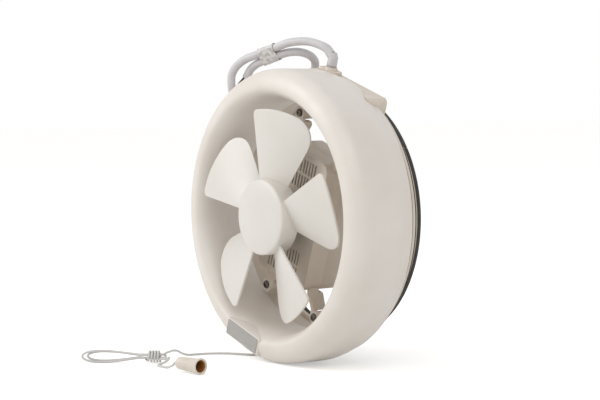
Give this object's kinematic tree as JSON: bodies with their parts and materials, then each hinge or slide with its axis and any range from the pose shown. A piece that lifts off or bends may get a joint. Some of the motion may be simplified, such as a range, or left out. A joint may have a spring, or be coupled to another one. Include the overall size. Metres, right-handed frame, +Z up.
{
  "type": "window exhaust fan",
  "caption": "Round ivory exhaust fan for a window pane, with a rolled drum, a bladed impeller before its motor housing, a bound mains cable and a pull cord.",
  "frame": {"origin": "on the fan's axis, in the plane where the rubber packing meets the pane", "axes": "+Z up as the fan stands, -Y out of the fan's front into the room, +X to the right seen from the front"},
  "size_m": [0.28, 0.2289, 0.3104],
  "materials": {
    "ivory_plastic": "satin moulded ABS",
    "ivory_plastic_rear": "satin moulded ABS, slightly darker",
    "ivory_plastic_blades": "smooth moulded AS resin",
    "ivory_plastic_bell": "moulded plastic",
    "grey_label": "brushed, printed face left bare",
    "black_rubber": "moulded rubber",
    "dark_screw_steel": "blackened",
    "zinc_steel": "zinc plated",
    "lamination_steel": "stacked sheet",
    "ground_steel": "ground",
    "enamelled_copper": "enamelled wire",
    "sintered_bronze": "sintered",
    "brass": "stamped",
    "cast_aluminium": "cast",
    "dark_plastic": "moulded",
    "white_plastic": "moulded",
    "red_plastic": "moulded",
    "white_pvc": "PVC sheath",
    "clear_wrap": "bare film wrap",
    "core_pvc": "three cores, green, black and pale",
    "braided_cord": "braided",
    "amber_plastic": "moulded"
  },
  "bodies": {
    "frame_body": {"front_casing": "ivory_plastic", "label_plate": "grey_label", "rear_ring": "ivory_plastic_rear", "pane_packing": "black_rubber", "rim_packing": "black_rubber", "motor_bracket": "ivory_plastic", "motor_cup": "ivory_plastic_rear", "leg_screws": "dark_screw_steel", "cup_screws": "zinc_steel", "stator_core": "lamination_steel", "stator_windings": "enamelled_copper", "bearing_brackets": "zinc_steel", "front_bearing": "sintered_bronze", "rear_bearing": "sintered_bronze", "run_capacitor": "dark_plastic", "terminal_box": "ivory_plastic_rear", "box_cover": "ivory_plastic_rear", "box_screws": "zinc_steel", "terminal_block": "white_plastic", "cable_gland": "ivory_plastic_rear", "mains_cable": "white_pvc", "cable_tag": "clear_wrap", "cable_cores": "core_pvc", "switch_housing": "ivory_plastic_rear", "switch_contacts": "brass", "lever_spring": "zinc_steel", "cord_eyelet": "brass", "pull_cord_run": "braided_cord", "pull_cord_hank": "braided_cord", "pull_cord_tail": "braided_cord", "pull_bell": "ivory_plastic_bell", "bell_stop": "amber_plastic"},
    "rotor": {"impeller": "ivory_plastic_blades", "motor_shaft": "ground_steel", "rotor_core": "lamination_steel", "rotor_rings": "cast_aluminium", "thrust_collars": "sintered_bronze", "drive_pin": "zinc_steel", "hub_clip": "zinc_steel"},
    "lever": {"switch_lever": "ivory_plastic_blades"},
    "cam": {"switch_cam": "red_plastic"}
  },
  "joints": [
    {"name": "impeller_spin", "type": "hinge", "parent": "frame_body", "child": "rotor", "pos_m": [0, -0.078, 0], "axis": [0, -1, 0], "continuous": true},
    {"name": "lever_swing", "type": "hinge", "parent": "frame_body", "child": "lever", "pos_m": [-0.04973, -0.043, -0.11422], "axis": [0, 1, 0], "range_deg": [0, 20], "stiffness_Nm_per_rad": 0.02},
    {"name": "cam_turn", "type": "hinge", "parent": "frame_body", "child": "cam", "pos_m": [-0.03083, -0.0481, -0.12078], "axis": [0, 1, 0], "range_deg": [0, 90]}
  ],
  "couplings": [
    {"joint": "cam_turn", "follows": "lever_swing", "ratio": 4.5}
  ]
}
